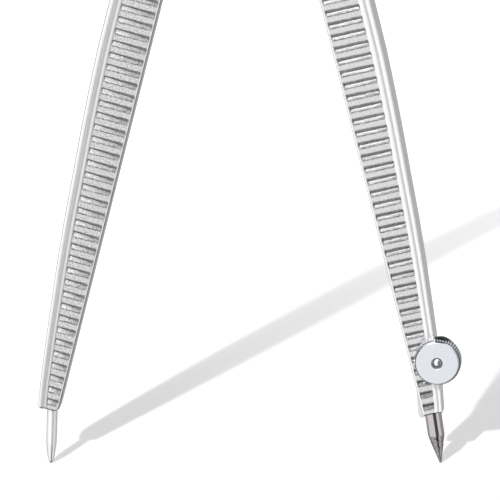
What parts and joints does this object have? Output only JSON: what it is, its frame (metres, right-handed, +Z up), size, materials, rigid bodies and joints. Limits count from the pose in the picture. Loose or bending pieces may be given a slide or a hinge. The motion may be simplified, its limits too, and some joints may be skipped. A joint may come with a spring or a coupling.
{
  "type": "drawing compass",
  "caption": "Drawing compass with geared friction-hinged ribbed legs, a steel needle point, a clamped graphite lead with a knurled knob, and a knurled grip.",
  "frame": {"origin": "centre of the flat top face of the grip", "axes": "+Z up along the grip, +X towards the lead leg, the front with the clamp knob faces -Y"},
  "size_m": [0.0509, 0.009, 0.1263],
  "materials": {
    "satin_chrome": "satin chrome plate over brass, fine sandblasted grain on the ribbed panels",
    "polished_steel": "polished",
    "turned_steel": "turned, faint concentric marks",
    "brass_washer": "plain rolled",
    "graphite": null
  },
  "bodies": {
    "head": {"head_yoke": "satin_chrome", "handle_grip": "turned_steel", "handle_stud": "turned_steel", "pivot_screw_needle": "polished_steel", "pivot_screw_lead": "polished_steel", "pivot_nut_needle": "polished_steel", "pivot_nut_lead": "polished_steel", "washer_front_needle": "brass_washer", "washer_back_needle": "brass_washer", "washer_front_lead": "brass_washer", "washer_back_lead": "brass_washer"},
    "needle_arm": {"needle_leg": "satin_chrome", "needle": "polished_steel", "needle_set_screw": "turned_steel"},
    "lead_arm": {"lead_leg": "satin_chrome", "clamp_washer": "turned_steel"},
    "jaw_set": {"clamp_jaw": "satin_chrome", "clamp_screw": "turned_steel"},
    "knob": {"clamp_knob": "turned_steel"},
    "lead_stick": {"lead": "graphite"}
  },
  "joints": [
    {"name": "needle_leg_swing", "type": "hinge", "parent": "head", "child": "needle_arm", "pos_m": [-0.0036, 0, -0.0315], "axis": [0, 1, 0], "range_deg": [-13, 35]},
    {"name": "lead_leg_swing", "type": "hinge", "parent": "head", "child": "lead_arm", "pos_m": [0.0036, 0, -0.0315], "axis": [0, -1, 0], "range_deg": [-13, 35]},
    {"name": "clamp_knob_turn", "type": "hinge", "parent": "lead_arm", "child": "knob", "pos_m": [0.02365, 0, -0.11163], "axis": [0, -1, 0], "range_deg": [0, 360]},
    {"name": "clamp_jaw_slide", "type": "slide", "parent": "lead_arm", "child": "jaw_set", "axis": [0, 1, 0], "range_m": [0, 0.00025]},
    {"name": "lead_slide", "type": "slide", "parent": "lead_arm", "child": "lead_stick", "axis": [0.1502, 0, -0.9887], "range_m": [-0.004, 0.002]}
  ],
  "couplings": [
    {"joint": "lead_leg_swing", "follows": "needle_leg_swing", "ratio": 1},
    {"joint": "clamp_knob_turn", "follows": "clamp_jaw_slide", "rad_per_m": 25133}
  ]
}
